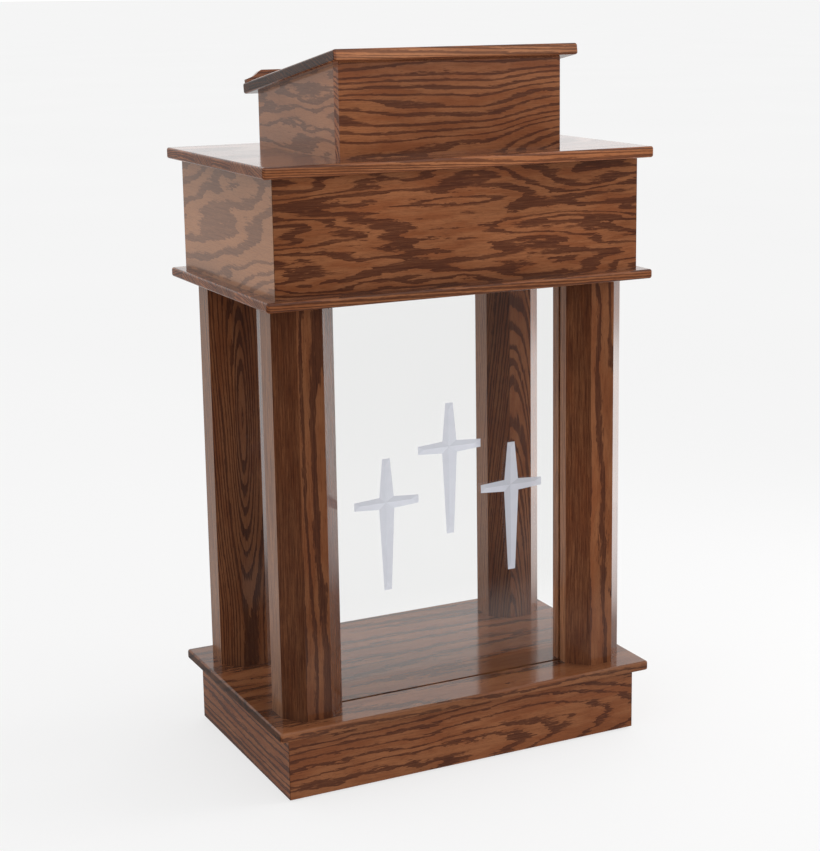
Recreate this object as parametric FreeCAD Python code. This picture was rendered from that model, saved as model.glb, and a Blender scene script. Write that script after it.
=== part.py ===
import FreeCAD, Part
import math
import os

from FreeCAD import Vector

# Lectern stand: an octagonal-post stand with a hollow plinth, a shallow
# cabinet and a raised, sloped reading board. Millimetres, +Z up, origin on
# the floor below the middle of the boards. The audience is at -Y, the speaker
# at +Y. Left and right are as the audience sees them, so left is -X.

# Plan sizes
BOARD_WIDTH = 708.0
BOARD_DEPTH = 459.0
BOX_WIDTH = 666.0
BOX_DEPTH = 419.0
WALL = 19.0
MITRE_EASE = 0.7

# Heights of the stacked parts, from the floor up
GLIDE_HEIGHT = 3.0
PLINTH_HEIGHT = 110.0
DECK_THICK = 17.0
POST_HEIGHT = 693.0
FLOOR_THICK = 16.0
CABINET_HEIGHT = 191.0
COUNTER_THICK = 19.0

PLINTH_Z = GLIDE_HEIGHT
DECK_Z = PLINTH_Z + PLINTH_HEIGHT
DECK_TOP = DECK_Z + DECK_THICK
FLOOR_Z = DECK_TOP + POST_HEIGHT
FLOOR_TOP = FLOOR_Z + FLOOR_THICK
COUNTER_Z = FLOOR_TOP + CABINET_HEIGHT
COUNTER_TOP = COUNTER_Z + COUNTER_THICK

# Rounding of the board edges and of their corners seen from above
EDGE_ROUND = 4.0
CORNER_ROUND = 5.0

# Octagonal posts
POST_ACROSS = 108.0
POST_X = 272.0
POST_Y = 145.5

# Clear panel and the grooves it stands in
PANEL_THICK = 6.0
GROOVE_WIDTH = 6.4
GROOVE_DEPTH = 10.0
BOARD_GROOVE_DEPTH = 6.0
PANEL_GAP = 1.0

# Carved crosses: arm lengths, half widths at the end and at the crossing
CROSS_UP = 76.7
CROSS_DOWN = 152.4
CROSS_SIDE = 59.7
CROSS_END_HALF = 7.0
CROSS_STEM_HALF = 14.5
CROSS_ARM_HALF = 11.3
CROSS_DEPTH = 3.0
CROSS_END_BEVEL = 12.0
CROSS_SPACING = 119.5
SIDE_CROSS_Z = 468.5
MIDDLE_CROSS_Z = 551.2

# Riser under the reading board
RISER_WIDTH = 403.0
RISER_DEPTH = 348.0

# Reading board: its high edge faces the audience
READING_WIDTH = 440.0
READING_LENGTH = 408.0
READING_THICK = 19.0
READING_SLOPE = 9.64
READING_EDGE_Y = -201.0
READING_EDGE_Z = 1224.0

# Book stop, placed along the slope from the high edge
STOP_START = 387.0
STOP_THICK = 14.0
STOP_HALF_WIDTH = 218.0
STOP_END_PROFILE = ((0.0, 5.0), (8.0, 7.8), (16.5, 12.4), (22.5, 17.2), (28.0, 20.0))

# Rail, cleats and blocks inside the plinth and the cabinet
RAIL_HEIGHT = 50.0
CLEAT_DEPTH = 19.0
CLEAT_HEIGHT = 25.0
PLINTH_BLOCK_LEG = 45.0
CABINET_BLOCK_LEG = 34.0

# Fasteners: length, shank radius, head radius
STOP_SCREW = (32.0, 2.0, 4.0)
RISER_SCREW = (50.0, 2.2, 4.4)
CLEAT_SCREW = (36.0, 2.2, 4.4)
FLOOR_SCREW = (45.0, 2.2, 4.4)
POST_SCREW = (70.0, 2.8, 5.4)
LAG_LENGTH = 90.0
LAG_RADIUS = 4.75
LAG_HEAD_ACROSS = 14.3
LAG_HEAD_HEIGHT = 6.4
WASHER_RADIUS = 12.7
WASHER_THICK = 1.6

SLOPE = math.radians(READING_SLOPE)
BOX_X = BOX_WIDTH / 2
BOX_Y = BOX_DEPTH / 2
INNER_X = BOX_X - WALL
INNER_Y = BOX_Y - WALL
RISER_X = RISER_WIDTH / 2
RISER_Y = RISER_DEPTH / 2
POSTS = {
    "post_front_left": (-POST_X, -POST_Y),
    "post_front_right": (POST_X, -POST_Y),
    "post_back_left": (-POST_X, POST_Y),
    "post_back_right": (POST_X, POST_Y),
}


def box(x0, x1, y0, y1, z0, z1):
    return Part.makeBox(x1 - x0, y1 - y0, z1 - z0, Vector(x0, y0, z0))


def prism(plan, z0, z1):
    """Upright prism on a polygon given as (x, y) corners."""
    corners = [Vector(x, y, z0) for x, y in plan]
    face = Part.Face(Part.makePolygon(corners + corners[:1]))
    return face.extrude(Vector(0, 0, z1 - z0))


def side_prism(outline, x0, x1):
    """Prism along X on a polygon given as (y, z) corners."""
    corners = [Vector(x0, y, z) for y, z in outline]
    face = Part.Face(Part.makePolygon(corners + corners[:1]))
    return face.extrude(Vector(x1 - x0, 0, 0))


def mirrored(shape):
    return shape.mirror(Vector(0, 0, 0), Vector(1, 0, 0))


def rounded_board(width, length, thick):
    """Flat board with rounded edges, centred in plan, its underside at z 0."""
    board = box(-width / 2, width / 2, -length / 2, length / 2, 0, thick)
    upright = [e for e in board.Edges if abs(e.tangentAt(e.FirstParameter).z) > 0.9]
    board = board.makeFillet(CORNER_ROUND, upright)
    rims = []
    for edge in board.Edges:
        low, high = edge.BoundBox.ZMin, edge.BoundBox.ZMax
        if high - low < 0.001:
            rims.append(edge)
    return board.makeFillet(EDGE_ROUND, rims)


def at_height(shape, z):
    moved = shape.copy()
    moved.translate(Vector(0, 0, z))
    return moved


def on_slope(shape):
    """From slope axes (x, distance from the high edge, height over the top
    face) to the lectern's own axes."""
    moved = shape.copy()
    moved.rotate(Vector(0, 0, 0), Vector(1, 0, 0), -READING_SLOPE)
    moved.translate(Vector(0, READING_EDGE_Y, READING_EDGE_Z))
    return moved


def reading_underside(y):
    """Height of the reading board's underside above a given y."""
    top = READING_EDGE_Z - (y - READING_EDGE_Y) * math.tan(SLOPE)
    return top - READING_THICK / math.cos(SLOPE)


def wood_screw(size, position, downwards=False):
    """Countersunk cross-head screw whose head lies flush at position."""
    length, shank, head = size
    taper = head - shank
    outline = [
        Vector(0, 0, 0),
        Vector(head, 0, 0),
        Vector(head, 0, 0.4),
        Vector(shank, 0, 0.4 + taper),
        Vector(shank, 0, length - 3 * shank),
        Vector(0, 0, length),
    ]
    screw = Part.Face(Part.makePolygon(outline + outline[:1]))
    screw = screw.revolve(Vector(0, 0, 0), Vector(0, 0, 1), 360)
    reach = 0.55 * head
    slot = 0.13 * head
    recess = 0.6 * taper + 0.4
    screw = screw.cut(box(-reach, reach, -slot, slot, 0, recess))
    screw = screw.cut(box(-slot, slot, -reach, reach, 0, recess))
    if downwards:
        screw.rotate(Vector(0, 0, 0), Vector(1, 0, 0), 180)
    screw.translate(Vector(*position))
    return screw


def screw_space(size, position, downwards=False):
    """The hole a wood screw fills, without its drive recess."""
    length, shank, head = size
    taper = head - shank
    space = Part.makeCylinder(head, 0.4)
    space = space.fuse(Part.makeCone(head, shank, taper, Vector(0, 0, 0.4)))
    space = space.fuse(Part.makeCylinder(shank, length - 3 * shank))
    tip = Part.makeCone(shank, 0, 3 * shank, Vector(0, 0, length - 3 * shank))
    space = space.fuse(tip)
    if downwards:
        space.rotate(Vector(0, 0, 0), Vector(1, 0, 0), 180)
    space.translate(Vector(*position))
    return space


def screws(size, positions, downwards=False):
    return [wood_screw(size, p, downwards) for p in positions]


def spaces(size, positions, downwards=False):
    return [screw_space(size, p, downwards) for p in positions]


def dowel(radius, start, end):
    """Plain dowel with chamfered ends between two points."""
    axis = end - start
    pin = Part.makeCylinder(radius, axis.Length)
    rims = [e for e in pin.Edges if isinstance(e.Curve, Part.Circle)]
    pin = pin.makeChamfer(0.8, rims)
    turn = FreeCAD.Rotation(Vector(0, 0, 1), axis)
    pin.Placement = FreeCAD.Placement(start, turn)
    return pin


def dowel_space(radius, start, end):
    return Part.makeCylinder(radius, (end - start).Length, start, end - start)


def hexagon(across, z0, z1):
    radius = across / math.sqrt(3)
    corners = []
    for step in range(6):
        angle = math.radians(60 * step)
        corners.append((radius * math.cos(angle), radius * math.sin(angle)))
    return prism(corners, z0, z1)


def save(name, shapes):
    """Write one node; a list becomes a group of separate solids."""
    shape = shapes
    if isinstance(shapes, list):
        shape = Part.makeCompound(shapes)
    shape.exportStep("parts/" + name + ".step")


# Where every screw head and dowel sits
stop_screw_spots = [(x, STOP_START + STOP_THICK / 2, -READING_THICK) for x in (-150, 0, 150)]

side_wall_x = RISER_X - WALL / 2
riser_screw_spots = [(x, -RISER_Y + WALL / 2, COUNTER_Z) for x in (-120, 120)]
for x in (-side_wall_x, side_wall_x):
    for y in (-100, 20, 140):
        riser_screw_spots.append((x, y, COUNTER_Z))

cleat_line_y = INNER_Y - CLEAT_DEPTH / 2
cleat_line_x = INNER_X - CLEAT_DEPTH / 2
counter_cleat_z = COUNTER_Z - CLEAT_HEIGHT
counter_screw_spots = [(x, -cleat_line_y, counter_cleat_z) for x in (-220, 0, 220)]
for x in (-cleat_line_x, cleat_line_x):
    for y in (-110, 110):
        counter_screw_spots.append((x, y, counter_cleat_z))

deck_cleat_z = DECK_Z - CLEAT_HEIGHT
deck_screw_spots = []
for y in (-cleat_line_y, cleat_line_y):
    for x in (-200, 0, 200):
        deck_screw_spots.append((x, y, deck_cleat_z))
for x in (-cleat_line_x, cleat_line_x):
    for y in (-90, 90):
        deck_screw_spots.append((x, y, deck_cleat_z))

floor_screw_spots = [(x, -BOX_Y + WALL / 2, FLOOR_Z) for x in (-150, 0, 150)]
for x in (-BOX_X + WALL / 2, BOX_X - WALL / 2):
    for y in (-60, 60):
        floor_screw_spots.append((x, y, FLOOR_Z))

post_screw_spots = []
post_dowel_ends = []
for x, y in POSTS.values():
    for dx in (-20, 20):
        for dy in (-20, 20):
            post_screw_spots.append((x + dx, y + dy, FLOOR_TOP))
    for dy in (-38, 38):
        post_dowel_ends.append((Vector(x, y + dy, DECK_TOP - 10), Vector(x, y + dy, DECK_TOP + 30)))
        post_dowel_ends.append((Vector(x, y + dy, FLOOR_Z - 30), Vector(x, y + dy, FLOOR_Z + 9)))

rail_z = COUNTER_Z - RAIL_HEIGHT
rail_dowel_ends = []
for side in (-1, 1):
    for z in (rail_z + 12, COUNTER_Z - 12):
        inner = Vector(side * (INNER_X - 25), BOX_Y - WALL / 2, z)
        outer = Vector(side * (INNER_X + 12), BOX_Y - WALL / 2, z)
        rail_dowel_ends.append((inner, outer))


# The reading board's dowels stand square to it, so they are set out on the slope
reading_dowel_ends = []
for x in (-150, 0, 150):
    reading_dowel_ends.append((Vector(x, 42, -39), Vector(x, 42, -8)))
for x in (-side_wall_x, side_wall_x):
    for along in (90, 215, 340):
        reading_dowel_ends.append((Vector(x, along, -39), Vector(x, along, -8)))

stop_screws = [on_slope(s) for s in screws(STOP_SCREW, stop_screw_spots)]
stop_spaces = [on_slope(s) for s in spaces(STOP_SCREW, stop_screw_spots)]
reading_dowels = [on_slope(dowel(4, a, b)) for a, b in reading_dowel_ends]
reading_spaces = [on_slope(dowel_space(4, a, b)) for a, b in reading_dowel_ends]
riser_spaces = spaces(RISER_SCREW, riser_screw_spots)
counter_spaces = spaces(CLEAT_SCREW, counter_screw_spots)
deck_spaces = spaces(CLEAT_SCREW, deck_screw_spots)
floor_spaces = spaces(FLOOR_SCREW, floor_screw_spots)
post_spaces = spaces(POST_SCREW, post_screw_spots, downwards=True)
post_dowel_spaces = [dowel_space(5, a, b) for a, b in post_dowel_ends]
rail_dowel_spaces = [dowel_space(4, a, b) for a, b in rail_dowel_ends]

save("book_stop_screws", stop_screws)
save("reading_board_dowels", reading_dowels)
save("riser_screws", screws(RISER_SCREW, riser_screw_spots))
save("counter_cleat_screws", screws(CLEAT_SCREW, counter_screw_spots))
save("deck_cleat_screws", screws(CLEAT_SCREW, deck_screw_spots))
save("cabinet_floor_screws", screws(FLOOR_SCREW, floor_screw_spots))
save("post_top_screws", screws(POST_SCREW, post_screw_spots, downwards=True))
save("post_dowels", [dowel(5, a, b) for a, b in post_dowel_ends])
save("cabinet_rail_dowels", [dowel(4, a, b) for a, b in rail_dowel_ends])

# Reading board and book stop
reading_board = rounded_board(READING_WIDTH, READING_LENGTH, READING_THICK)
reading_board.translate(Vector(0, READING_LENGTH / 2, -READING_THICK))
reading_board = on_slope(reading_board).cut(stop_spaces + reading_spaces)
save("reading_board", reading_board)

rise = [Vector(-STOP_HALF_WIDTH + x, STOP_START, z) for x, z in STOP_END_PROFILE]
fall = [Vector(-p.x, p.y, p.z) for p in reversed(rise)]
left_curve = Part.BSplineCurve()
left_curve.interpolate(rise)
right_curve = Part.BSplineCurve()
right_curve.interpolate(fall)
foot_left = Vector(-STOP_HALF_WIDTH, STOP_START, 0)
foot_right = Vector(STOP_HALF_WIDTH, STOP_START, 0)
stop_wire = Part.Wire([
    Part.makeLine(foot_left, rise[0]),
    left_curve.toShape(),
    Part.makeLine(rise[-1], fall[0]),
    right_curve.toShape(),
    Part.makeLine(fall[-1], foot_right),
    Part.makeLine(foot_right, foot_left),
])
book_stop = Part.Face(stop_wire).extrude(Vector(0, STOP_THICK, 0))
save("book_stop", on_slope(book_stop).cut(stop_spaces))

# Riser: a front panel across the full width, side panels butted behind it,
# the back open to the speaker
front_y = -RISER_Y
behind_front_y = front_y + WALL
riser_front = side_prism([
    (front_y, COUNTER_TOP),
    (behind_front_y, COUNTER_TOP),
    (behind_front_y, reading_underside(behind_front_y)),
    (front_y, reading_underside(front_y)),
], -RISER_X, RISER_X)
riser_side = side_prism([
    (behind_front_y, COUNTER_TOP),
    (RISER_Y, COUNTER_TOP),
    (RISER_Y, reading_underside(RISER_Y)),
    (behind_front_y, reading_underside(behind_front_y)),
], -RISER_X, -RISER_X + WALL)
riser_holes = riser_spaces + reading_spaces
save("riser_front_panel", riser_front.cut(riser_holes))
save("riser_left_side", riser_side.cut(riser_holes))
save("riser_right_side", mirrored(riser_side).cut(riser_holes))

# Counter board with the cleats that hold it down
counter = at_height(rounded_board(BOARD_WIDTH, BOARD_DEPTH, COUNTER_THICK), COUNTER_Z)
save("counter_board", counter.cut(riser_spaces + counter_spaces))

cleat_front = box(-270, 270, -INNER_Y, -INNER_Y + CLEAT_DEPTH, counter_cleat_z, COUNTER_Z)
cleat_side = box(-INNER_X, -INNER_X + CLEAT_DEPTH, -150, 150, counter_cleat_z, COUNTER_Z)
counter_cleats = [cleat_front, cleat_side, mirrored(cleat_side)]
save("counter_cleats", [c.cut(counter_spaces) for c in counter_cleats])

# Cabinet walls: mitred at the front corners, square at the open back
cabinet_front_plan = [
    (-BOX_X + MITRE_EASE, -BOX_Y),
    (BOX_X - MITRE_EASE, -BOX_Y),
    (BOX_X - MITRE_EASE, -BOX_Y + MITRE_EASE),
    (INNER_X, -INNER_Y),
    (-INNER_X, -INNER_Y),
    (-BOX_X + MITRE_EASE, -BOX_Y + MITRE_EASE),
]
cabinet_side_plan = [
    (-BOX_X, -BOX_Y + MITRE_EASE),
    (-BOX_X + MITRE_EASE, -BOX_Y + MITRE_EASE),
    (-INNER_X, -INNER_Y),
    (-INNER_X, BOX_Y),
    (-BOX_X, BOX_Y),
]
wall_holes = floor_spaces + rail_dowel_spaces
cabinet_front = prism(cabinet_front_plan, FLOOR_TOP, COUNTER_Z)
cabinet_side = prism(cabinet_side_plan, FLOOR_TOP, COUNTER_Z)
save("cabinet_front_panel", cabinet_front.cut(wall_holes))
save("cabinet_left_side", cabinet_side.cut(wall_holes))
save("cabinet_right_side", mirrored(cabinet_side).cut(wall_holes))

back_rail = box(-INNER_X, INNER_X, INNER_Y, BOX_Y, rail_z, COUNTER_Z)
save("cabinet_back_rail", back_rail.cut(rail_dowel_spaces))

cabinet_block = prism([
    (-INNER_X, -INNER_Y),
    (-INNER_X + CABINET_BLOCK_LEG, -INNER_Y),
    (-INNER_X, -INNER_Y + CABINET_BLOCK_LEG),
], FLOOR_TOP, COUNTER_Z)
save("cabinet_corner_blocks", [cabinet_block, mirrored(cabinet_block)])

# Cabinet floor and deck, each grooved for the clear panel
groove_reach = POST_X - POST_ACROSS / 2 + GROOVE_DEPTH
groove_front = -POST_Y - GROOVE_WIDTH / 2
groove_back = -POST_Y + GROOVE_WIDTH / 2
floor_groove = box(
    -groove_reach, groove_reach, groove_front, groove_back,
    FLOOR_Z, FLOOR_Z + BOARD_GROOVE_DEPTH,
)
deck_groove = box(
    -groove_reach, groove_reach, groove_front, groove_back,
    DECK_TOP - BOARD_GROOVE_DEPTH, DECK_TOP,
)
cabinet_floor = at_height(rounded_board(BOARD_WIDTH, BOARD_DEPTH, FLOOR_THICK), FLOOR_Z)
cabinet_floor = cabinet_floor.cut([floor_groove] + floor_spaces + post_spaces + post_dowel_spaces)
save("cabinet_floor_board", cabinet_floor)

lag_shanks = []
lag_screws = []
washers = []
lag_seat = DECK_Z - WASHER_THICK
for x, y in POSTS.values():
    plain = Part.makeCylinder(LAG_RADIUS, LAG_LENGTH - 12, Vector(x, y, lag_seat))
    tip = Part.makeCone(LAG_RADIUS, 0, 12, Vector(x, y, lag_seat + LAG_LENGTH - 12))
    shank = plain.fuse(tip)
    head = hexagon(LAG_HEAD_ACROSS, lag_seat - LAG_HEAD_HEIGHT, lag_seat)
    head.translate(Vector(x, y, 0))
    washer = Part.makeCylinder(WASHER_RADIUS, WASHER_THICK, Vector(x, y, lag_seat))
    lag_shanks.append(shank)
    lag_screws.append(head.fuse(shank))
    washers.append(washer.cut(shank))
save("post_lag_screws", lag_screws)
save("post_lag_washers", washers)

deck = at_height(rounded_board(BOARD_WIDTH, BOARD_DEPTH, DECK_THICK), DECK_Z)
deck = deck.cut([deck_groove] + deck_spaces + post_dowel_spaces + lag_shanks)
save("deck_board", deck)

# Posts; the two at the front are grooved on their facing sides
corner_radius = POST_ACROSS / 2 / math.cos(math.pi / 8)
post_holes = post_spaces + post_dowel_spaces + lag_shanks
for name, (x, y) in POSTS.items():
    plan = []
    for step in range(8):
        angle = math.radians(22.5 + 45 * step)
        plan.append((x + corner_radius * math.cos(angle), y + corner_radius * math.sin(angle)))
    post = prism(plan, DECK_TOP, FLOOR_Z)
    if y < 0:
        slot = box(-groove_reach, groove_reach, groove_front, groove_back, DECK_TOP, FLOOR_Z)
        post = post.cut(slot)
    save(name, post.cut(post_holes))


def carved_arm(length, half_width):
    """Cutter for one V-carved arm along +X from the crossing, its mouth on
    the plane y 0 and its valley at +Y."""
    taper = (half_width - CROSS_END_HALF) / length
    valley_end = length - CROSS_END_BEVEL
    valley_depth = CROSS_DEPTH * (half_width - taper * valley_end) / half_width
    mouth = [
        Vector(0, 0, half_width),
        Vector(0, 0, -half_width),
        Vector(length, 0, -CROSS_END_HALF),
        Vector(length, 0, CROSS_END_HALF),
    ]
    crossing = Vector(0, CROSS_DEPTH, 0)
    apex = Vector(valley_end, valley_depth, 0)
    loops = [
        mouth,
        [mouth[0], mouth[3], apex, crossing],
        [mouth[1], crossing, apex, mouth[2]],
        [mouth[3], mouth[2], apex],
        [mouth[0], crossing, mouth[1]],
    ]
    faces = [Part.Face(Part.makePolygon(loop + loop[:1])) for loop in loops]
    return Part.makeSolid(Part.makeShell(faces))


def carved_cross(x, z):
    """Cutter for a whole cross, its crossing at x, z."""
    cutter = None
    arms = (
        (CROSS_SIDE, CROSS_ARM_HALF, 0),
        (CROSS_UP, CROSS_STEM_HALF, -90),
        (CROSS_SIDE, CROSS_ARM_HALF, 180),
        (CROSS_DOWN, CROSS_STEM_HALF, 90),
    )
    for length, half_width, turn in arms:
        arm = carved_arm(length, half_width)
        arm.rotate(Vector(0, 0, 0), Vector(0, 1, 0), turn)
        cutter = arm if cutter is None else cutter.fuse(arm)
    cutter.translate(Vector(x, -POST_Y - PANEL_THICK / 2, z))
    return cutter


# Clear panel with three crosses carved into the audience's side
panel = box(
    -groove_reach + PANEL_GAP, groove_reach - PANEL_GAP,
    -POST_Y - PANEL_THICK / 2, -POST_Y + PANEL_THICK / 2,
    DECK_TOP - BOARD_GROOVE_DEPTH, FLOOR_Z + BOARD_GROOVE_DEPTH - PANEL_GAP,
)
crosses = [
    carved_cross(-CROSS_SPACING, SIDE_CROSS_Z),
    carved_cross(0, MIDDLE_CROSS_Z),
    carved_cross(CROSS_SPACING, SIDE_CROSS_Z),
]
for cross in crosses:
    panel = panel.cut(cross)
save("cross_panel", panel)

# Plinth: four boards mitred at every corner, blocks glued into the corners
plinth_front_plan = cabinet_front_plan
plinth_side_plan = [
    (-BOX_X, -BOX_Y + MITRE_EASE),
    (-BOX_X + MITRE_EASE, -BOX_Y + MITRE_EASE),
    (-INNER_X, -INNER_Y),
    (-INNER_X, INNER_Y),
    (-BOX_X + MITRE_EASE, BOX_Y - MITRE_EASE),
    (-BOX_X, BOX_Y - MITRE_EASE),
]
plinth_back_plan = [(x, -y) for x, y in plinth_front_plan]
plinth_side = prism(plinth_side_plan, PLINTH_Z, DECK_Z)
save("plinth_front_board", prism(plinth_front_plan, PLINTH_Z, DECK_Z))
save("plinth_back_board", prism(plinth_back_plan, PLINTH_Z, DECK_Z))
save("plinth_left_board", plinth_side)
save("plinth_right_board", mirrored(plinth_side))

glides = []
blocks = []
for side_x in (-1, 1):
    for side_y in (-1, 1):
        glide_x = side_x * (INNER_X - 14)
        glide_y = side_y * (INNER_Y - 14)
        pad = Part.makeCylinder(10, GLIDE_HEIGHT, Vector(glide_x, glide_y, 0))
        rim = [e for e in pad.Edges if e.BoundBox.ZMax < 0.001]
        pad = pad.makeFillet(1.2, rim)
        nail = Part.makeCylinder(1.2, 16, Vector(glide_x, glide_y, GLIDE_HEIGHT))
        glides.append(pad.fuse(nail))
        corner = (side_x * INNER_X, side_y * INNER_Y)
        block = prism([
            corner,
            (corner[0] - side_x * PLINTH_BLOCK_LEG, corner[1]),
            (corner[0], corner[1] - side_y * PLINTH_BLOCK_LEG),
        ], PLINTH_Z, DECK_Z)
        blocks.append(block.cut(nail))
save("floor_glides", glides)
save("plinth_corner_blocks", blocks)

cleat_long = box(-250, 250, -INNER_Y, -INNER_Y + CLEAT_DEPTH, deck_cleat_z, DECK_Z)
cleat_short = box(-INNER_X, -INNER_X + CLEAT_DEPTH, -125, 125, deck_cleat_z, DECK_Z)
cleat_back = cleat_long.mirror(Vector(0, 0, 0), Vector(0, 1, 0))
deck_cleats = [cleat_long, cleat_back, cleat_short, mirrored(cleat_short)]
save("deck_cleats", [c.cut(deck_spaces) for c in deck_cleats])
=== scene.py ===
import math

import bpy
from mathutils import Matrix, Vector


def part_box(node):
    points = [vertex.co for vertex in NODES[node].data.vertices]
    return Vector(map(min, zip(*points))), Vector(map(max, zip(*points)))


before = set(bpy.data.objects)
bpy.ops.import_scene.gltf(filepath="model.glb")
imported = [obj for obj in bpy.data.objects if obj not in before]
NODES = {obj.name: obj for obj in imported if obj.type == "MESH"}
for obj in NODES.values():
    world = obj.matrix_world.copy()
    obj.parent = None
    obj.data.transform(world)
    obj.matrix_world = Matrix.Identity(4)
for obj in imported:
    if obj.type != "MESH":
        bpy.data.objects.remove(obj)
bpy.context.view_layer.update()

# ---------------------------------------------------------------- camera
CAMERA_PLACE = (-1.3843, -2.8791, 1.3104)    # metres, in the part's frame
CAMERA_HEADING = math.radians(26.951)        # from +Y towards +X
CAMERA_PITCH = math.radians(-11.908)
CAMERA_ROLL = math.radians(-0.632)
CAMERA_LENS = 78.43                          # mm, on a sensor 36 mm wide
CAMERA_SHIFT = (-0.0480, -0.0519)            # share of the picture's longer side


def make_camera():
    """The camera sees the front and the left side, from a little above."""
    along_floor = math.cos(CAMERA_PITCH)
    forward = Vector((
        math.sin(CAMERA_HEADING) * along_floor,
        math.cos(CAMERA_HEADING) * along_floor,
        math.sin(CAMERA_PITCH),
    ))
    right = Vector((math.cos(CAMERA_HEADING), -math.sin(CAMERA_HEADING), 0))
    roll = Matrix.Rotation(-CAMERA_ROLL, 3, forward)
    right = roll @ right
    up = right.cross(forward)
    turn = Matrix((right, up, -forward)).transposed().to_4x4()
    data = bpy.data.cameras.new("camera")
    data.lens = CAMERA_LENS
    data.shift_x, data.shift_y = CAMERA_SHIFT
    camera = bpy.data.objects.new("camera", data)
    camera.matrix_world = Matrix.Translation(CAMERA_PLACE) @ turn
    bpy.context.scene.collection.objects.link(camera)
    bpy.context.scene.camera = camera


# ---------------------------------------------------------------- node trees
WHITE = (1, 1, 1, 1)


class Shader:
    """Short calls that add a node to a tree and give what comes out of it."""

    def __init__(self, tree):
        self.tree = tree

    def node(self, kind, inputs, **settings):
        made = self.tree.nodes.new(kind)
        for name, value in settings.items():
            setattr(made, name, value)
        for socket, value in inputs.items():
            if isinstance(value, bpy.types.NodeSocket):
                self.tree.links.new(value, made.inputs[socket])
            else:
                made.inputs[socket].default_value = value
        return made

    def place(self, system="Object"):
        """Object is metres in the part's frame. Generated is shares of the box, or the way to the sky."""
        return self.node("ShaderNodeTexCoord", {}).outputs[system]

    def math(self, operation, *values, clamp=False):
        inputs = dict(enumerate(values))
        return self.node("ShaderNodeMath", inputs, operation=operation, use_clamp=clamp).outputs[0]

    def vector(self, operation, *values):
        return self.node("ShaderNodeVectorMath", dict(enumerate(values)), operation=operation).outputs[0]

    def measure(self, operation, *vectors):
        """A vector operation that gives one number."""
        made = self.node("ShaderNodeVectorMath", dict(enumerate(vectors)), operation=operation)
        return made.outputs["Value"]

    def split(self, vector):
        return list(self.node("ShaderNodeSeparateXYZ", {0: vector}).outputs)

    def join(self, x, y, z):
        return self.node("ShaderNodeCombineXYZ", {0: x, 1: y, 2: z}).outputs[0]

    def noise(self, vector, scale, detail=2.0, roughness=0.5):
        """Noise from 0 to 1 about 0.5. scale is in patches a metre, one number or one for each axis."""
        if isinstance(scale, tuple):
            vector = self.vector("MULTIPLY", vector, scale)
            scale = 1.0
        inputs = {"Vector": vector, "Scale": scale, "Detail": detail, "Roughness": roughness}
        return self.node("ShaderNodeTexNoise", inputs).outputs[0]

    def wave(self, vector, scale, detail=2.0, roughness=0.5):
        """The same noise about 0."""
        return self.math("SUBTRACT", self.noise(vector, scale, detail, roughness), 0.5)

    def chance(self, vector):
        """Luck from 0 to 1 dealt to each vector: Value is one number and Color is three."""
        return self.node("ShaderNodeTexWhiteNoise", {"Vector": vector}).outputs

    def span(self, value, low, high, to_low=0.0, to_high=1.0):
        """value taken from low..high to to_low..to_high, with soft ends and nothing outside."""
        inputs = {0: value, 1: low, 2: high, 3: to_low, 4: to_high}
        return self.node("ShaderNodeMapRange", inputs, interpolation_type="SMOOTHSTEP").outputs[0]

    def blend(self, factor, first, second):
        """Two colours mixed."""
        return self.node("ShaderNodeMix", {0: factor, 6: first, 7: second}, data_type="RGBA").outputs[2]

    def bump(self, height, distance, strength):
        inputs = {"Height": height, "Distance": distance, "Strength": strength}
        return self.node("ShaderNodeBump", inputs).outputs[0]


def new_material(name):
    """An empty node material and the calls that fill it."""
    material = bpy.data.materials.new(name)
    material.use_nodes = True
    material.node_tree.nodes.clear()
    return material, Shader(material.node_tree)


def finish_material(shader, surface):
    shader.node("ShaderNodeOutputMaterial", {"Surface": surface})


def dress(node, material):
    """Gives a CAD node its material."""
    mesh = NODES[node].data
    mesh.materials.clear()
    mesh.materials.append(material)


# ---------------------------------------------------------------- oak
LIGHT_OAK = (0.300, 0.112, 0.046, 1)
PALE_OAK = (0.360, 0.172, 0.078, 1)
RED_OAK = (0.235, 0.075, 0.028, 1)
DARK_OAK = (0.074, 0.022, 0.011, 1)

# noise in the wood, in patches a metre along, across and through the board
SMALL_WAVES = (22, 130, 130)
TEETH = (45, 480, 480)
HAIR = (16, 800, 800)
PINSTRIPE = (14, 420, 420)
PORES = (90, 2300, 2300)
MOTTLE = (2.2, 7, 7)
FLUSH = (9, 45, 45)

YEAR_RUNS = 0.35          # runs of good and bad years, in patches a ring
YEAR_SWING = 3.0          # rings by which such a run pushes the figure about
PORE_DEPTH = 0.0002
LACQUER_ROUGHNESS = 0.12
LACQUER_INDEX = 1.38
LACQUER_ON_ENDS = 0.65    # share of it that stays on the thirsty end grain
STAVE_WIDTH = 0.085
STAVE_ASIDE = 0.7         # how far apart in their logs the staves of a glued board lay, across and in depth
STAVE_DEPTH = 0.05
STAVE_TONE = 0.3          # how unlike in tone they are
TURN_LENGTH = 0.05        # metres over which the log's centre takes its turn
ONE_PIECE = 10.0          # a stave wider than any board
FAR_OFF = -10             # a place long before the start of any board

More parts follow.
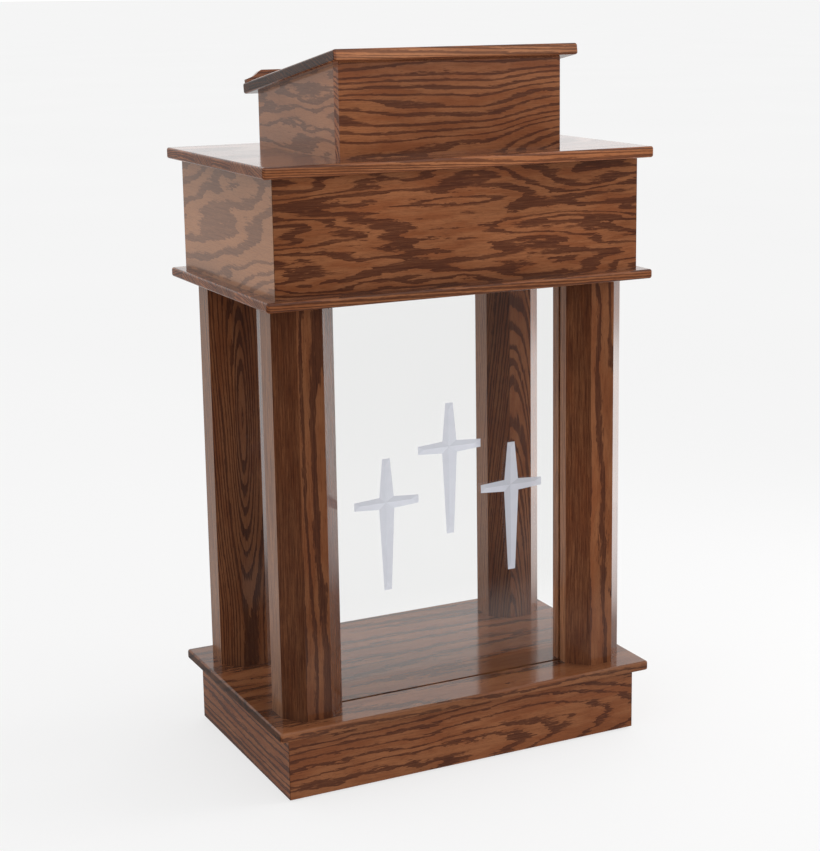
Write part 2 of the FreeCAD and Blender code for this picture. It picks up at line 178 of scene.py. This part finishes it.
# what a board's figure may set, and what it is where the board says nothing
FIGURE = {
    "Ring": 0.014,            # metres from one growth ring to the next
    "Pith": (FAR_OFF, 0, 0),  # the log's centre: where it turns, and its place across and through
    "Lean": 0.0,              # how fast the centre moves away past that turn
    "Slant": 0.0,             # how fast the centre climbs across the board
    "Wild": 1.0,              # rings by which broad waves push the figure about
    "Reach": (3, 9, 9),       # broad waves a metre along, across and through
    "Ragged": 0.6,            # rings by which small waves break up the edges
    "Dark": 0.30,             # share of a ring that is dark open-pored wood
    "Tone": 1.0,              # how light the whole board is
    "Plain": 0.0,             # how far all but the two broad faces lose their figure
    "Pale": 0.0,              # how far the board took less of the red stain
    "Edge": 1.0,              # tone of the two long faces beside the broad ones
    "End": 0.62,              # tone of the end grain
    "Stave": ONE_PIECE,       # width of the glued staves
    "Seed": 0.0,
}


def deal_staves(s, given):
    """The luck of each stave, and 1 where the board is glued up from several."""
    across = s.split(given["Board"])[1]
    stave = s.math("FLOOR", s.math("DIVIDE", across, given["Stave"]))
    luck = s.chance(s.join(stave, given["Seed"], 0.5))["Color"]
    glued = s.math("LESS_THAN", given["Stave"], ONE_PIECE)
    return luck, glued


def count_rings(s, given, place, luck, glued):
    """How many growth rings lie between the log's centre and this place, pushed about by noise."""
    along, across, through = s.split(given["Board"])
    turn, pith_across, pith_through = s.split(given["Pith"])
    luck_depth, luck_aside, _ = s.split(luck)

    climb = s.math("MULTIPLY", along, given["Slant"])
    aside = s.math("SUBTRACT", s.math("SUBTRACT", across, pith_across), climb)
    apart = s.math("MULTIPLY", s.math("SUBTRACT", luck_aside, 0.5), glued)
    aside = s.math("MULTIPLY_ADD", apart, STAVE_ASIDE, aside)

    past = s.math("SMOOTH_MAX", s.math("SUBTRACT", along, turn), 0.0, TURN_LENGTH)
    depth = s.math("SUBTRACT", through, pith_through)
    depth = s.math("MULTIPLY_ADD", past, given["Lean"], depth)
    depth = s.math("MULTIPLY_ADD", s.math("MULTIPLY", luck_depth, glued), STAVE_DEPTH, depth)
    radius = s.math("SQRT", s.math("ADD", s.math("POWER", aside, 2.0), s.math("POWER", depth, 2.0)))

    rings = s.math("DIVIDE", radius, given["Ring"])
    years = s.wave(s.join(rings, given["Seed"], 0.0), YEAR_RUNS, 1.0)
    broad = s.wave(s.vector("MULTIPLY", place, given["Reach"]), 1.0, 2.0, 0.45)
    rings = s.math("MULTIPLY_ADD", s.math("MULTIPLY", broad, 2.0), given["Wild"], rings)
    rings = s.math("MULTIPLY_ADD", years, YEAR_SWING, rings)
    return s.math("MULTIPLY_ADD", s.wave(place, SMALL_WAVES, 3.0, 0.65), given["Ragged"], rings)


def find_open_wood(s, given, place, rings):
    """A ring starts with a dense row of large pores and thins out to close wood. Each year differs."""
    ring = s.math("FRACT", rings)
    year = s.chance(s.join(s.math("FLOOR", rings), given["Seed"], 1.5))["Value"]
    dark = s.math("MULTIPLY", given["Dark"], s.span(year, 0.0, 1.0, 0.55, 1.25))
    start = s.span(ring, 0.0, 0.07)
    thin_out = s.span(ring, dark, s.math("ADD", dark, 0.35), 1.0, 0.0)
    dense = s.math("MULTIPLY", start, thin_out)
    return s.span(s.math("MULTIPLY_ADD", s.wave(place, TEETH, 3.0, 0.7), 2.6, dense), 0.28, 0.80)


def draw_plain(s, place, beside):
    """Straight fine stripes, denser on the long faces beside the broad ones."""
    stripe = s.math("MULTIPLY", s.wave(place, PINSTRIPE, 2.0, 0.7), s.math("MULTIPLY_ADD", beside, 2.4, 2.6))
    return s.math("ADD", stripe, s.math("MULTIPLY_ADD", beside, -0.22, 0.66), clamp=True)


def colour_wood(s, given, place, open_wood, dash, beside):
    """The stained wood, darkest in the open wood, the pores and the finest streaks."""
    flush = s.noise(place, FLUSH, 3.0, 0.6)
    hair = s.noise(place, HAIR, 2.0, 0.6)
    lighter_edge = s.math("MULTIPLY", beside, s.math("SUBTRACT", given["Edge"], 1.0))
    pale = s.math("MAXIMUM", given["Pale"], lighter_edge, clamp=True)
    wood = s.blend(s.span(flush, 0.38, 0.66), LIGHT_OAK, RED_OAK)
    wood = s.blend(pale, wood, PALE_OAK)
    stain = s.blend(s.math("MULTIPLY", pale, 0.4), DARK_OAK, PALE_OAK)
    wood = s.blend(s.math("MULTIPLY", open_wood, s.span(hair, 0.3, 0.7, 1.0, 0.55)), wood, stain)
    wood = s.blend(s.span(hair, 0.40, 0.75, 0.0, 0.30), wood, stain)
    return s.blend(s.math("MULTIPLY", dash, 0.5), wood, stain)


def find_tone(s, given, place, luck, glued, end_grain, beside):
    """How light the wood is here."""
    tone = s.math("MULTIPLY", s.span(s.noise(place, MOTTLE, 2.0, 0.5), 0.3, 0.7, 0.84, 1.16), given["Tone"])
    tone = s.math("MULTIPLY", tone, s.span(end_grain, 0.0, 1.0, 1.0, given["End"]))
    tone = s.math("MULTIPLY", tone, s.span(beside, 0.0, 1.0, 1.0, given["Edge"]))
    uneven = s.math("MULTIPLY", s.math("SUBTRACT", s.split(luck)[2], 0.5), glued)
    return s.math("MULTIPLY", tone, s.math("MULTIPLY_ADD", uneven, STAVE_TONE, 1.0))


def make_oak_group():
    """Stained red oak under lacquer, cut from a log: a solid pattern, so that faces, edges and ends agree."""
    tree = bpy.data.node_groups.new("stained_oak", "ShaderNodeTree")
    sockets = tree.interface
    sockets.new_socket("Board", in_out="INPUT", socket_type="NodeSocketVector")
    sockets.new_socket("Facing", in_out="INPUT", socket_type="NodeSocketVector")
    for name, value in FIGURE.items():
        kind = "NodeSocketVector" if isinstance(value, tuple) else "NodeSocketFloat"
        sockets.new_socket(name, in_out="INPUT", socket_type=kind).default_value = value
    sockets.new_socket("Surface", in_out="OUTPUT", socket_type="NodeSocketShader")
    s = Shader(tree)
    given = s.node("NodeGroupInput", {}).outputs

    # each stave, and each board by its seed, is cut from another part of the log
    luck, glued = deal_staves(s, given)
    seed = s.join(given["Seed"], given["Seed"], given["Seed"])
    drift = s.vector("ADD", seed, s.vector("MULTIPLY", luck, (3.0, 3.0, 3.0)))
    place = s.vector("ADD", given["Board"], drift)

    # which of the board's faces this is, by how far it faces along and through the board
    end, _, back = s.split(given["Facing"])
    end = s.math("ABSOLUTE", end)
    back = s.math("ABSOLUTE", back)
    end_grain = s.span(end, 0.8, 0.95)
    beside = s.span(s.math("MAXIMUM", back, end), 0.1, 0.6, 1.0, 0.0)
    turned = s.span(back, 0.75, 0.95, 1.0, 0.0)

    rings = count_rings(s, given, place, luck, glued)
    figured = find_open_wood(s, given, place, rings)
    plain = draw_plain(s, place, beside)
    sort = {0: s.math("MULTIPLY", turned, given["Plain"]), 2: figured, 3: plain}
    open_wood = s.node("ShaderNodeMix", sort, data_type="FLOAT").outputs[0]
    dash = s.span(s.math("MULTIPLY_ADD", open_wood, 0.10, s.noise(place, PORES, 1.0, 0.5)), 0.60, 0.68)

    wood = colour_wood(s, given, place, open_wood, dash, beside)
    tone = find_tone(s, given, place, luck, glued, end_grain, beside)
    height = s.math("ADD", s.math("MULTIPLY", dash, -1.0), s.math("MULTIPLY", open_wood, -0.3))
    surface = s.node("ShaderNodeBsdfPrincipled", {
        "Base Color": s.vector("MULTIPLY", wood, s.join(tone, tone, tone)),
        "Roughness": s.span(open_wood, 0.0, 1.0, 0.5, 0.65),
        "Specular IOR Level": 0.0,
        "Normal": s.bump(height, PORE_DEPTH, 0.5),
        "Coat Weight": s.span(end_grain, 0.0, 1.0, 1.0, LACQUER_ON_ENDS),
        "Coat IOR": LACQUER_INDEX,
        "Coat Roughness": s.math("MULTIPLY_ADD", open_wood, 0.03, LACQUER_ROUGHNESS),
        "Coat Normal": s.bump(height, PORE_DEPTH / 2, 0.04),
    })
    s.node("NodeGroupOutput", {"Surface": surface.outputs[0]})
    return tree


OAK = make_oak_group()


def oak(node, axes, **figure):
    """Dresses one board. axes names the part's axes that run along, across and through it, such as XZY."""
    material, s = new_material("oak_" + node)
    order = ["XYZ".index(letter) for letter in axes]
    place = s.split(s.place())
    normal = s.split(s.node("ShaderNodeNewGeometry", {}).outputs["True Normal"])
    group = s.node("ShaderNodeGroup", {}, node_tree=OAK)
    s.tree.links.new(s.join(*(place[i] for i in order)), group.inputs["Board"])
    s.tree.links.new(s.join(*(normal[i] for i in order)), group.inputs["Facing"])
    for name, value in figure.items():
        group.inputs[name].default_value = value
    finish_material(s, group.outputs[0])
    dress(node, material)


oak("cabinet_front_panel", "XZY", Seed=6, Ring=0.06, Pith=(FAR_OFF, 0.8, -0.3), Wild=5.5,
    Reach=(2.6, 17, 3), Ragged=0.9, Dark=0.36, Tone=0.86)
oak("cabinet_left_side", "YZX", Seed=54, Ring=0.042, Pith=(FAR_OFF, 0.7, -0.3), Slant=-0.3, Wild=2.2,
    Reach=(3.5, 10, 3), Dark=0.3, Pale=0.7)
oak("cabinet_right_side", "YZX", Seed=55, Ring=0.042, Pith=(FAR_OFF, 0.7, 0.3), Slant=-0.3, Wild=2.2,
    Reach=(3.5, 10, 3), Dark=0.35, Pale=0.3)
oak("cabinet_back_rail", "XZY", Seed=4, Pith=(FAR_OFF, 0.8, -0.1))
oak("riser_front_panel", "XZY", Seed=6, Ring=0.0105, Pith=(0.08, 1.02, -0.11), Lean=0.35, Wild=2,
    Reach=(3, 8, 3), Dark=0.26, End=1.2)
oak("riser_left_side", "YZX", Seed=6, Ring=0.05, Pith=(FAR_OFF, 0.9, -0.2), Wild=4.0,
    Reach=(3, 16, 3), Ragged=0.9, Pale=0.5, Tone=1.2)
oak("riser_right_side", "YZX", Seed=7, Ring=0.05, Pith=(FAR_OFF, 0.9, 0.2), Wild=4.0,
    Reach=(3, 16, 3), Ragged=0.9, Pale=0.3)
oak("plinth_front_board", "XZY", Seed=53, Ring=0.0145, Pith=(0, 0.015, -0.2), Lean=-0.22, Slant=0.06, Wild=2,
    Reach=(3, 6, 3), Ragged=1.1, Dark=0.2, Tone=0.73)
oak("plinth_back_board", "XZY", Seed=9, Ring=0.012, Pith=(FAR_OFF, -0.1, 0.3), Wild=2.0,
    Reach=(2.5, 7, 3), Tone=0.85)
oak("plinth_left_board", "YZX", Seed=10, Ring=0.014, Pith=(FAR_OFF, -0.2, -0.3), Wild=0.8, Tone=0.8)
oak("plinth_right_board", "YZX", Seed=11, Ring=0.014, Pith=(FAR_OFF, -0.2, 0.3), Wild=0.8, Tone=0.8)
oak("book_stop", "XYZ", Seed=17, Ring=0.006, Pith=(FAR_OFF, 0.4, 0.9), Wild=0.5)


def oak_flat(node, across, **figure):
    """One flat board glued up from staves, with the log's centre well below it and about that far across."""
    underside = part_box(node)[0].z
    pith = (FAR_OFF, across, underside - 0.4)
    oak(node, "XYZ", Pith=pith, Lean=0.03, Wild=1.5, Reach=(2, 5, 5), Stave=STAVE_WIDTH, **figure)


oak_flat("counter_board", 0.3, Seed=12, Ring=0.005, Dark=0.4, Edge=1.15, End=0.8)
oak_flat("cabinet_floor_board", 0.3, Seed=13, Ring=0.005, Dark=0.4, Edge=1.1, End=0.8)
oak_flat("deck_board", 0.02, Seed=16, Ring=0.017, Ragged=1.0, Dark=0.2, Tone=0.76, Pale=0.1, End=0.35)
oak_flat("reading_board", 0.25, Seed=15, Ring=0.005, Dark=0.4, Tone=0.92, Edge=1.3, End=0.3)


def oak_post(node, across, through, turn=FAR_OFF, **figure):
    """One octagonal post, with the log's centre that far aside of its middle and behind its front face."""
    low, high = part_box(node)
    pith = (turn, (low.x + high.x) / 2 + across, low.y + through)
    oak(node, "ZXY", Pith=pith, Reach=(2.2, 10, 10), Edge=1.45, **figure)


oak_post("post_front_left", 0.08, 0.15, Seed=32, Ring=0.012, Wild=1.6, Plain=0.9, Tone=0.56)
oak_post("post_front_right", 0.08, 0.15, Seed=38, Ring=0.02, Wild=2.5, Plain=0.9, Tone=0.74)
oak_post("post_back_left", -0.01, -0.03, turn=0.25, Seed=25, Ring=0.005, Lean=-0.09, Wild=1.6,
    Plain=0.1, Tone=0.55)
oak_post("post_back_right", -0.022, 0.0, turn=0.0, Seed=24, Ring=0.005, Lean=0.1, Wild=1.6,
    Plain=0.1, Tone=0.66)


# ---------------------------------------------------------------- acrylic panel
ACRYLIC_INDEX = 1.49
CLEAR_TINTS = ((0.982, 0.984, 0.982, 1), (0.990, 0.990, 0.988, 1))
FROST_TINTS = ((0.63, 0.65, 0.72, 1), (0.69, 0.71, 0.78, 1))
FROST_LIT_THROUGH = 0.35  # share of the frost that glows with light from behind
FROST_CLEAR = 0.12        # share of it that is still clear
PAINTED_SHADE_SIDE = -0.38        # painted shade: how far the tone of a cut face follows its tilt sideways and upwards
PAINTED_SHADE_UP = 0.30


def make_acrylic():
    """Clear cast acrylic. Its two flat faces are polished, and every face cut into it is frosted."""
    material, s = new_material("clear_acrylic")
    place = s.place()
    surface = s.node("ShaderNodeNewGeometry", {}).outputs
    tilt_x, tilt_y, tilt_z = s.split(surface["True Normal"])
    cut = s.span(s.math("ABSOLUTE", tilt_y), 0.994, 0.999, 1.0, 0.0)

    # each flat face mirrors its own share, whether the light comes from the air or from inside the sheet
    index = s.span(surface["Backfacing"], 0.0, 1.0, ACRYLIC_INDEX, 1 / ACRYLIC_INDEX)
    waves = s.bump(s.noise(place, 5.0, 1.0), 0.0004, 0.1)
    through = s.blend(s.noise(place, 8.0, 2.0), *CLEAR_TINTS)
    clear = s.node("ShaderNodeBsdfTransparent", {"Color": through})
    film = s.span(s.noise(place, 30.0, 3.0), 0.4, 0.8, 0.0, 0.05)
    shine = s.node("ShaderNodeBsdfAnisotropic", {"Color": WHITE, "Roughness": film, "Normal": waves})
    share = s.node("ShaderNodeFresnel", {"IOR": index})
    polished = s.node("ShaderNodeMixShader", {0: share.outputs[0], 1: clear.outputs[0], 2: shine.outputs[0]})

    grit = s.bump(s.noise(place, 2600.0, 2.0), 0.0001, 0.3)
    # the grinding leaves the facets of a cross a little unlike
    # painted shade: each cut face of a cross is darker or lighter by its tilt, as if lit from the left and
    # from above
    painted_facet_shade = s.math("MULTIPLY_ADD", tilt_x, PAINTED_SHADE_SIDE, s.math("MULTIPLY_ADD", tilt_z, PAINTED_SHADE_UP, 1.0))
    white = s.blend(s.noise(place, 60.0), *FROST_TINTS)
    white = s.vector("MULTIPLY", white, s.join(painted_facet_shade, painted_facet_shade, painted_facet_shade))
    veil = s.node("ShaderNodeBsdfDiffuse", {"Color": white, "Normal": grit})
    lit = s.node("ShaderNodeBsdfTranslucent", {"Color": white, "Normal": grit})
    scatter = s.node("ShaderNodeMixShader", {0: FROST_LIT_THROUGH, 1: veil.outputs[0], 2: lit.outputs[0]})
    frosted = s.node("ShaderNodeMixShader", {0: FROST_CLEAR, 1: scatter.outputs[0], 2: clear.outputs[0]})
    mixed = s.node("ShaderNodeMixShader", {0: cut, 1: polished.outputs[0], 2: frosted.outputs[0]})
    finish_material(s, mixed.outputs[0])
    return material


dress("cross_panel", make_acrylic())


# ---------------------------------------------------------------- hidden wood, metal and plastic
def make_bare_wood(name, light, dark, spacing):
    """Planed unfinished wood with faint straight grain."""
    material, s = new_material(name)
    place = s.place()
    lines = s.noise(place, (spacing / 12, spacing, spacing), 3.0, 0.6)
    fibre = s.noise(place, (60, 1500, 1500), 2.0, 0.6)
    colour = s.blend(s.span(lines, 0.35, 0.65), light, dark)
    colour = s.blend(s.span(fibre, 0.4, 0.8, 0.0, 0.4), colour, dark)
    surface = s.node("ShaderNodeBsdfPrincipled", {
        "Base Color": colour,
        "Roughness": s.span(fibre, 0.3, 0.7, 0.55, 0.75),
        "Normal": s.bump(fibre, 0.0002, 0.4),
    })
    finish_material(s, surface.outputs[0])
    return material


def make_zinc():
    """Bright zinc plating, a little cloudy."""
    material, s = new_material("zinc_steel")
    place = s.place()
    cloud = s.noise(place, 400.0, 3.0)
    surface = s.node("ShaderNodeBsdfPrincipled", {
        "Base Color": s.blend(cloud, (0.62, 0.63, 0.64, 1), (0.50, 0.50, 0.49, 1)),
        "Metallic": 1.0,
        "Roughness": s.span(cloud, 0.3, 0.7, 0.22, 0.45),
        "Normal": s.bump(s.noise(place, 3000.0), 0.00005, 0.3),
    })
    finish_material(s, surface.outputs[0])
    return material


def make_nylon():
    """Off-white moulded nylon."""
    material, s = new_material("nylon")
    place = s.place()
    speck = s.noise(place, 900.0, 3.0)
    surface = s.node("ShaderNodeBsdfPrincipled", {
        "Base Color": s.blend(speck, (0.62, 0.60, 0.55, 1), (0.70, 0.69, 0.65, 1)),
        "Roughness": s.span(speck, 0.3, 0.7, 0.35, 0.5),
        "Subsurface Weight": 0.2,
        "Subsurface Scale": 0.002,
        "Normal": s.bump(speck, 0.0001, 0.3),
    })
    finish_material(s, surface.outputs[0])
    return material


BLOCK_WOOD = make_bare_wood("poplar", (0.50, 0.36, 0.20, 1), (0.38, 0.27, 0.14, 1), 120)
DOWEL_WOOD = make_bare_wood("beech", (0.58, 0.39, 0.24, 1), (0.45, 0.28, 0.16, 1), 300)
ZINC = make_zinc()
for node in NODES:
    if node.endswith(("cleats", "corner_blocks")):
        dress(node, BLOCK_WOOD)
    elif node.endswith("dowels"):
        dress(node, DOWEL_WOOD)
    elif node.endswith(("screws", "washers")):
        dress(node, ZINC)
dress("floor_glides", make_nylon())


# ---------------------------------------------------------------- studio
PAPER = 0.93                        # how bright the white surroundings look
BEHIND_RIGHT = (0.62, 0.77, 0.15)   # way to the brightest part of them
BRIGHTEST = 1.3                     # how much brighter they are there
FLOOR_HALF = 400.0
FLOOR_TONES = (0.245, 0.255)
FLOOR_GLOW = 0.73                   # share of the surroundings' brightness that the floor gives off by itself
SHEEN_HALF = 30.0
SHEEN_HEIGHT = 0.002
SHEEN_RIGHT = (0.886, 0.425, 0)     # way from the stand to the bright side of the sheen
SWEEP_END = -0.8                    # in front of the stand the bright sheen ends here
STRIP_LEFT = (1.1, 1.1)             # the upright softbox's two edges and its height and brightness
STRIP_RIGHT = (1.95, 0.2)
STRIP_HEIGHT = 1.7
STRIP_LEVEL = 0.2
KEY_PLACE = Vector((2.6, -0.6, 1.2))
KEY_AIM = Vector((0, 0, 0.6))
KEY_SIZE = 1.8
KEY_SPREAD = math.radians(90)
KEY_POWER = 16.5


def sheet(name, corners):
    """A flat four-cornered sheet of the studio."""
    mesh = bpy.data.meshes.new(name)
    mesh.from_pydata(corners, [], [(0, 1, 2, 3)])
    made = bpy.data.objects.new(name, mesh)
    bpy.context.scene.collection.objects.link(made)
    return made


def lie_flat(name, half, height):
    plan = ((-half, -half), (half, -half), (half, half), (-half, half))
    return sheet(name, [(x, y, height) for x, y in plan])


def seen_in_gloss_only(card):
    card.visible_camera = False
    card.visible_diffuse = False
    card.visible_transmission = False
    card.visible_shadow = False


def make_floor():
    """A pale floor that also glows, which keeps the stand's shadow faint."""
    floor = lie_flat("floor", FLOOR_HALF, 0)
    material, s = new_material("floor")
    place = s.place()
    tone = s.span(s.noise(place, 0.5, 2.0), 0.2, 0.8, *FLOOR_TONES)
    matt = s.node("ShaderNodeBsdfDiffuse", {"Color": s.join(tone, tone, tone)})
    lit = s.node("ShaderNodeEmission", {"Color": WHITE, "Strength": PAPER * FLOOR_GLOW})
    finish_material(s, s.node("ShaderNodeAddShader", {0: matt.outputs[0], 1: lit.outputs[0]}).outputs[0])
    floor.data.materials.append(material)


def make_floor_sheen():
    """Painted reflection of the floor: a glowing card that only the lacquer and the acrylic mirror.

    Painted shadow darkens it close to the stand; it is darker at the left, dark past the sweep's end and
    bright at the right.
    """
    card = lie_flat("floor_sheen", SHEEN_HALF, SHEEN_HEIGHT)
    material, s = new_material("floor_sheen")
    place = s.place()
    _, y, _ = s.split(place)
    to_right = s.measure("DOT_PRODUCT", place, SHEEN_RIGHT)
    # painted shadow of the stand on the floor: the card glows less close to the stand
    painted_stand_shadow = s.span(s.measure("LENGTH", s.vector("MULTIPLY", place, (0.7, 1, 0))), 0.25, 1.1, 0.25, 1.0)
    left = s.span(to_right, -0.65, -0.45, 0.12, 1.0)
    front = s.span(y, SWEEP_END - 0.2, SWEEP_END + 0.1, 0.15, 0.85)
    behind = s.span(y, 0.1, 1.2, 1.0, 0.82)
    right = s.math("MULTIPLY", s.span(to_right, 0.55, 0.95), s.span(y, -0.3, 0.2))
    right = s.math("MULTIPLY", right, s.span(y, 1.6, 2.4, 1.9, 0.0))
    level = s.math("MAXIMUM", s.math("MULTIPLY", front, behind), right)
    level = s.math("MULTIPLY", s.math("MULTIPLY", painted_stand_shadow, left), level)
    finish_material(s, s.node("ShaderNodeEmission", {"Color": WHITE, "Strength": level}).outputs[0])
    card.data.materials.append(material)
    seen_in_gloss_only(card)


def make_strip():
    """A faint upright softbox with faded edges at the right, which only the gloss sees."""
    bottom = [(*STRIP_LEFT, 0), (*STRIP_RIGHT, 0)]
    top = [(*STRIP_RIGHT, STRIP_HEIGHT), (*STRIP_LEFT, STRIP_HEIGHT)]
    strip = sheet("strip_light", bottom + top)
    material, s = new_material("strip_light")
    side, _, up = s.split(s.place("Generated"))
    level = s.math("MULTIPLY", s.span(side, 0.0, 0.35), s.span(side, 0.65, 1.0, STRIP_LEVEL, 0.0))
    level = s.math("MULTIPLY", level, s.span(up, 0.8, 1.0, 1.0, 0.0))
    glow = s.node("ShaderNodeEmission", {"Color": WHITE, "Strength": level})
    past = s.node("ShaderNodeBsdfTransparent", {})
    finish_material(s, s.node("ShaderNodeAddShader", {0: glow.outputs[0], 1: past.outputs[0]}).outputs[0])
    strip.data.materials.append(material)
    seen_in_gloss_only(strip)


def make_key_light():
    """One large soft light at the right and a little in front, whose grid keeps it off the floor beside it.

    The gloss doesn't see it.
    """
    data = bpy.data.lights.new("key_light", "AREA")
    data.shape = "SQUARE"
    data.size = KEY_SIZE
    data.spread = KEY_SPREAD
    data.energy = KEY_POWER
    light = bpy.data.objects.new("key_light", data)
    light.location = KEY_PLACE
    light.rotation_euler = (KEY_AIM - KEY_PLACE).to_track_quat("-Z", "Y").to_euler()
    light.visible_camera = False
    light.visible_glossy = False
    bpy.context.scene.collection.objects.link(light)


def make_sky():
    """An even white studio, a little brighter behind the stand at the right."""
    world = bpy.data.worlds.new("studio")
    bpy.context.scene.world = world
    world.use_nodes = True
    s = Shader(world.node_tree)
    background = world.node_tree.nodes["Background"]
    background.inputs["Color"].default_value = WHITE
    toward = s.measure("DOT_PRODUCT", s.place("Generated"), BEHIND_RIGHT)
    strength = s.span(toward, 0.80, 1.0, PAPER, PAPER * BRIGHTEST)
    s.tree.links.new(strength, background.inputs["Strength"])
    bpy.context.scene.view_settings.view_transform = "Standard"


make_floor()
make_floor_sheen()
make_strip()
make_key_light()
make_sky()
make_camera()
